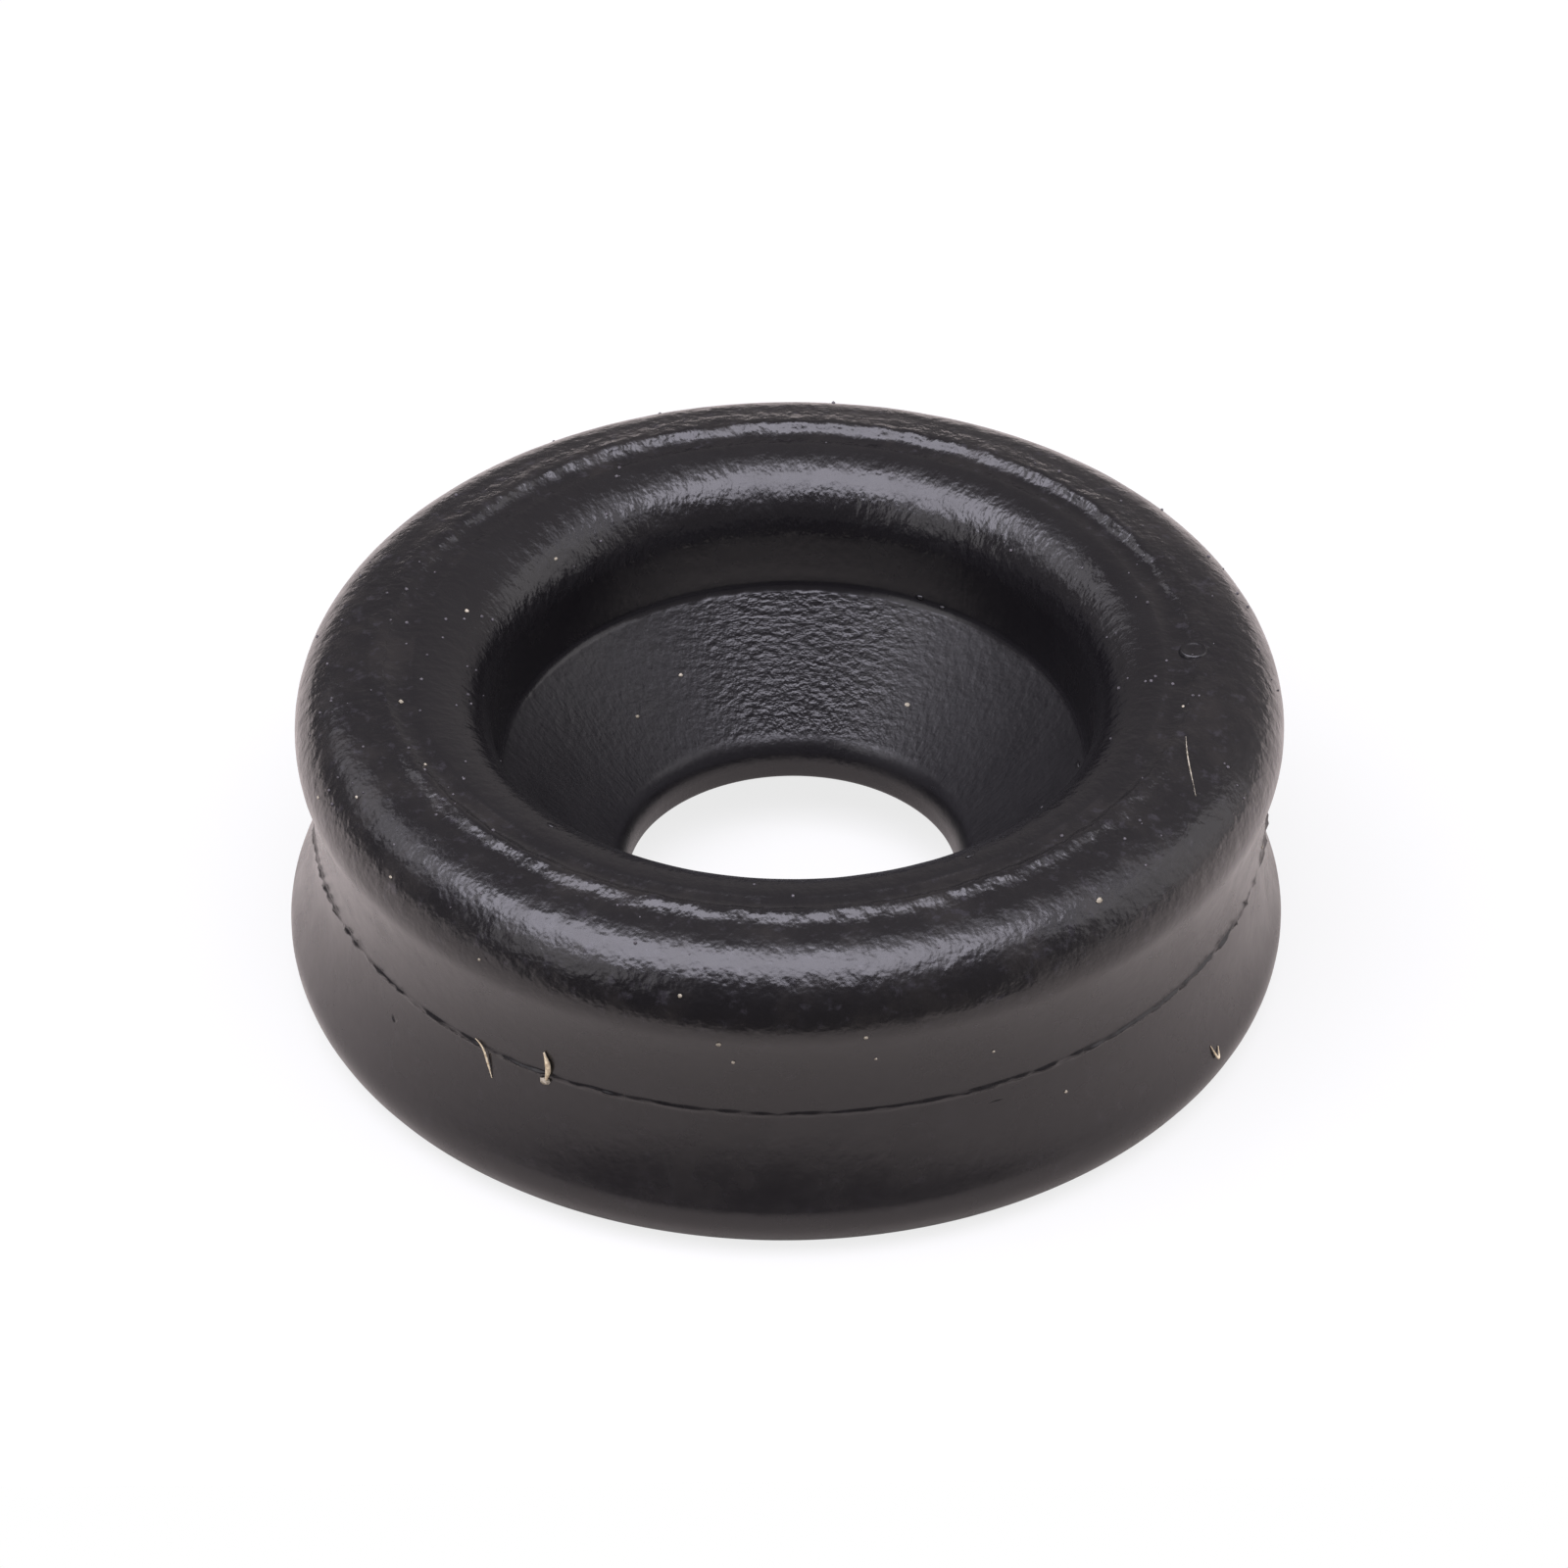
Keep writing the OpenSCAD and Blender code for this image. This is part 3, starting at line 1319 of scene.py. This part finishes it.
@dataclass
class LooseMatter:
    """Everything that lies on the seal or is torn from it."""

    torn: tuple[Grain, ...] = (
        Grain(63.0, 5.98, 4.55, 0.07, 1.6),
        Grain(58.0, 5.95, 4.5, 0.05, 1.4),
        Grain(1.2, 5.75, 4.34, 0.07, 1.8),
        Grain(299, 7.21, 6.96, 0.06, 1.5),
        Grain(227.9, 7.0, 6.89, 0.05, 2.0),
    )
    specks: tuple[Grain, ...] = tuple(
        Grain(*speck)
        for speck in (
            (309.0, 9.49, 6.68, 0.055), (163.5, 6.84, 6.81, 0.045), (189.2, 7.86, 7.0, 0.045),
            (204.9, 7.94, 7.0, 0.03), (117.7, 4.81, 3.43, 0.04), (134.2, 4.51, 3.13, 0.035),
            (56.6, 4.43, 3.05, 0.045), (138.7, 6.41, 6.45, 0.035), (199.1, 9.91, 6.11, 0.03),
            (205.2, 9.44, 6.72, 0.03), (217.4, 9.83, 6.26, 0.03), (348.4, 8.02, 7.0, 0.03),
            (278.2, 9.98, 5.36, 0.04), (293.7, 9.74, 4.19, 0.03), (279.5, 9.82, 4.66, 0.025),
            (303.4, 9.76, 2.5, 0.03), (257.5, 9.86, 6.22, 0.04), (261.9, 9.94, 5.19, 0.04),
            (263.4, 9.82, 4.66, 0.035), (232.8, 9.99, 5.79, 0.03), (349.7, 9.7, 3.49, 0.03),
            (240.3, 9.71, 3.12, 0.085),
        )
    )
    fibres: tuple[Fibre, ...] = (
        Fibre(
            "lint_flake",
            ((240.3, 9.71, 3.85, 0.03), (240.9, 9.7, 3.51, 0.07), (240.4, 9.71, 3.12, 0.03)),
            0.055,
        ),
        Fibre(
            "lint_curl",
            ((230.3, 9.7, 3.39, 0.01), (231.8, 9.7, 3.27, 0.05), (232.9, 9.75, 2.64, 0.01)),
            0.022,
        ),
        Fibre(
            "lint_streak",
            ((341.4, 8.29, 7.0, 0.01), (337.0, 8.55, 7.0, 0.03), (331.1, 9.11, 6.9, 0.01)),
            0.013,
        ),
        Fibre(
            "lint_hook",
            ((327.0, 10.1, 1.4, 0.01), (327.4, 10.1, 1.05, 0.06), (328.3, 10.1, 1.25, 0.01)),
            0.022,
        ),
    )

    def build(self, skin: bpy.types.Object, rubber: bpy.types.Material) -> list[bpy.types.Object]:
        """Sets every loose or torn bit on the skin.

        Args:
            skin: The seal's skin.
            rubber: The rubber, for the torn bits.

        Returns:
            The pieces.
        """
        finder = SkinFinder(skin)
        dust = Matter("dust", (0.55, 0.5, 0.4, 1.0), (0.3, 0.27, 0.2, 1.0)).build()
        # The dust film's specks are partly a painted glow on the bead's left and right edges.
        film = Matter("dust film", (0.15, 0.14, 0.15, 1.0), (0.06, 0.055, 0.06, 1.0)).build()
        lint = Matter("lint", (0.95, 0.84, 0.6, 1.0), (0.6, 0.48, 0.3, 1.0)).build()
        pieces = [
            Bits("torn_flash", self.torn, 3, 0.0).build(finder, rubber),
            Bits("dust_specks", self.specks).build(finder, dust),
            DustAndEdgeGlow().build(skin, film),
        ]
        tree = Fibre.tree()
        for fibre in self.fibres:
            matter = dust if fibre.name == "lint_streak" else lint
            pieces.append(fibre.build(tree, finder, matter))
        return pieces


@dataclass(frozen=True)
class Lamp:
    """A soft studio panel that lights evenly.

    Args:
        name: What the panel is called.
        place: Its centre, in metres.
        size: Its width and depth, in metres.
        glow: Its brightness, where a white sheet in full light is 1.
        tint: Its colour.
        aim: The point that it faces.
        spin: Its turn about its own aim, in degrees.
    """

    name: str
    place: Place
    size: Point
    glow: float
    tint: Place
    aim: Place = (0.0, 0.0, 0.0)
    spin: float = 0.0

    def hang(self) -> None:
        """Makes the panel and turns it to its aim."""
        data = bpy.data.lights.new(self.name, "AREA")
        data.shape = "RECTANGLE"
        data.size, data.size_y = self.size
        data.energy = self.glow * math.pi * self.size[0] * self.size[1]
        data.color = self.tint
        lamp = bpy.data.objects.new(self.name, data)
        lamp.location = self.place
        look = Vector(self.aim) - Vector(self.place)
        turn = Matrix.Rotation(math.radians(self.spin), 4, "Z")
        lamp.rotation_euler = (look.to_track_quat("-Z", "Y").to_matrix().to_4x4() @ turn).to_euler()
        bpy.context.scene.collection.objects.link(lamp)


@dataclass
class Studio:
    """Pale sweep, soft panels, surround and camera."""

    floor_front: float = -0.0165
    floor_back: float = 0.16
    floor_side: float = 0.06
    floor_low: float = -0.03
    floor_white: float = 0.8
    floor_pale: float = 0.82
    floor_dim: float = 0.48
    floor_within: float = 0.68
    floor_tint: Place = (1.08, 0.97, 0.87)
    floor_share: float = 0.8
    gloss_share: float = 0.15
    surround_front: float = 0.155
    surround_back: float = 0.32
    table: float = 0.8
    target: float = 3.8389
    sideways: float = -0.1149
    distance: float = 150.0
    elevation: float = 37.992
    roll: float = -0.3863
    lens: float = 168.9

    def build(self) -> None:
        """Builds the floor, the surround, the panels and the camera."""
        self._floor()
        self._surround()
        for lamp in self._lamps():
            lamp.hang()
        self._camera()

    @staticmethod
    def _lamps() -> list[Lamp]:
        """The panels: two overhead, one of them wide and weak, and three weak ones at the sides.

        Returns:
            The panels, not yet hung.
        """
        over, wide = (-0.06, -0.104, 0.307), (0.0, -0.05, 0.33)
        straight = [(x, y, 0.0) for x, y, _ in (over, wide)]
        return [
            Lamp("overhead_panel", over, (0.48, 0.262), 3.7, (1.0, 0.97, 1.12), straight[0], -15.0),
            Lamp("wide_panel", wide, (0.95, 0.3), 0.7, (1.0, 0.98, 1.08), straight[1]),
            Lamp("left_panel", (-0.33, -0.27, 0.21), (0.26, 0.24), 1.0, (1.0, 0.97, 1.0)),
            Lamp("rear_left_panel", (-0.37, 0.19, 0.307), (0.32, 0.22), 1.0, (1.0, 0.97, 1.04)),
            Lamp("right_panel", (0.42, 0.02, 0.16), (0.36, 0.3), 0.75, (1.0, 0.97, 1.0)),
        ]

    def _floor(self) -> None:
        """A pale floor, white in view and clear from below, that still takes the seal's shadow; to
        other rays its colour has painted shade, darker toward the front and under the seal.
        """
        side, near, far = self.floor_side, self.floor_front, self.floor_back
        mesh = bpy.data.meshes.new("floor")
        low = self.floor_low * MM
        corners = [(-side, near, low), (side, near, low), (side, far, low), (-side, far, low)]
        mesh.from_pydata(corners, [], [(0, 1, 2, 3)])
        floor = bpy.data.objects.new("floor", mesh)
        bpy.context.scene.collection.objects.link(floor)
        tree = MaterialTree("pale sweep")
        path = tree.add("ShaderNodeLightPath").outputs
        seen = tree.math("MAXIMUM", path["Is Camera Ray"], path["Is Transmission Ray"])
        # Painted shade, for rays other than the camera's: the floor's colour darkens toward the
        # front.
        front, back = near + 0.002, 0.003
        pale = tree.ramp(tree.split(tree.place)[1], front, back, self.floor_dim, self.floor_pale)
        # Painted shade under the seal: the floor's colour darkens within 10 mm of the axis.
        far_off = tree.vector("LENGTH", tree.place)
        pale = tree.times(pale, tree.ramp(far_off, 0.007, 0.01, self.floor_within, 1.0))
        warm = tree.combine(*(tree.times(pale, tint) for tint in self.floor_tint))
        colour = tree.mix(seen, warm, tree.combine(*[self.floor_white] * 3))
        plain = tree.add("ShaderNodeBsdfDiffuse", {"Color": colour}).outputs[0]
        glow = tree.add("ShaderNodeEmission", {"Strength": 1.0}).outputs[0]
        gloss = tree.times(path["Is Glossy Ray"], self.gloss_share)
        share = tree.math("MAXIMUM", tree.times(seen, self.floor_share), gloss)
        mixed = tree.add("ShaderNodeMixShader", {0: share, 1: plain, 2: glow}).outputs[0]
        under = tree.add("ShaderNodeNewGeometry").outputs["Backfacing"]
        clear = tree.add("ShaderNodeBsdfTransparent").outputs[0]
        sides = tree.add("ShaderNodeMixShader", {0: under, 1: mixed, 2: clear})
        mesh.materials.append(tree.end(sides))

    def _surround(self) -> None:
        """A world that is white in view and a quiet grey as light."""
        world = bpy.data.worlds.new("surround")
        world.use_nodes = True
        world.node_tree.nodes.clear()
        tree = TreeWriter(world.node_tree)
        path = tree.add("ShaderNodeLightPath").outputs
        seen = tree.math("MAXIMUM", path["Is Camera Ray"], path["Is Transmission Ray"])
        side, ahead, up = tree.split(tree.add("ShaderNodeTexCoord").outputs["Generated"])
        level = tree.ramp(ahead, -0.8, 0.4, self.surround_front, self.surround_back)
        level = tree.times(level, tree.ramp(side, -0.9, 0.9, 0.5, 1.05))
        low = tree.times(tree.ramp(up, -0.12, 0.0, 1.0, 0.0), tree.ramp(ahead, -0.7, -0.3))
        table = tree.times(low, tree.minus(self.table, level))
        level = tree.plus(level, table)
        grey = tree.combine(tree.times(level, 1.08), level, level)
        colour = tree.mix(seen, grey, (1.0, 1.0, 1.0, 1.0))
        back = tree.add("ShaderNodeBackground", {"Color": colour})
        tree.add("ShaderNodeOutputWorld", {0: back.outputs[0]})
        bpy.context.scene.world = world

    def _camera(self) -> None:
        """A long lens, looking down on the seal."""
        up = math.radians(self.elevation)
        ahead = Vector((0, math.cos(up), -math.sin(up)))
        right = Vector((1, 0, 0))
        over = right.cross(ahead)
        turn = math.radians(self.roll)
        side = math.cos(turn) * right + math.sin(turn) * over
        top = -math.sin(turn) * right + math.cos(turn) * over
        at = Vector((self.sideways, 0, self.target)) - ahead * self.distance
        data = bpy.data.cameras.new("camera")
        data.lens = self.lens
        data.clip_start = 0.005
        data.clip_end = 20.0
        camera = bpy.data.objects.new("camera", data)
        camera.matrix_world = Matrix.Translation(at * MM) @ Matrix(
            (side, top, -ahead)
        ).transposed().to_4x4()
        bpy.context.scene.collection.objects.link(camera)
        bpy.context.scene.camera = camera


def main() -> None:
    """Builds the seal and its studio."""
    logging.basicConfig(level=logging.INFO, format="%(message)s")
    bpy.context.scene.view_settings.view_transform = "Standard"
    section = SealSection()
    log.info("section: %d rows", len(section.stations))
    rubber = MouldedRubber().build(MouldGrain().group())
    skin = SealSkin(section).build(rubber)
    pieces = [skin, GatePip().build(SkinFinder(skin), rubber)]
    pieces.extend(LooseMatter().build(skin, rubber))
    for piece in pieces:
        log.info("%s: %d faces", piece.name, len(piece.data.polygons))
    Studio().build()


if __name__ == "__main__":
    main()
